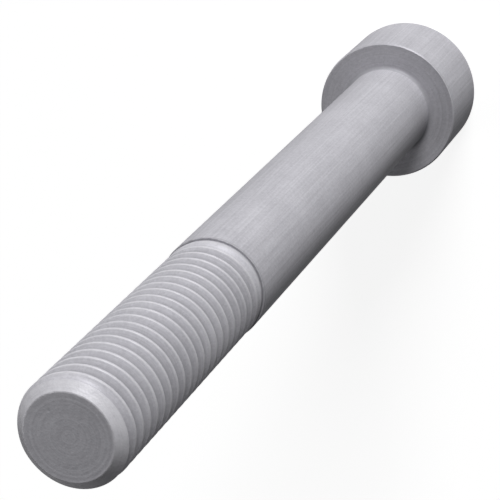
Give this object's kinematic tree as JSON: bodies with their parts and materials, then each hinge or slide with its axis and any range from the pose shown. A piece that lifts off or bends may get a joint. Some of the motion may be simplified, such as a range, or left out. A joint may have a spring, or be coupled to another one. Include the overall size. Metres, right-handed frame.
{
  "type": "cap screw",
  "caption": "Hexagon socket head cap screw with a cylindrical head, a long plain shank and a threaded end with a chamfered tip.",
  "frame": {"origin": "centre of the head's top face, which holds the socket and on which the screw stands", "axes": "+Z along the screw's axis from the head to the tip; +X through a corner of the hexagon socket"},
  "size_m": [0.016, 0.016, 0.1],
  "materials": {
    "steel": "matte"
  },
  "bodies": {
    "root": {"cap_screw": "steel"}
  },
  "joints": []
}
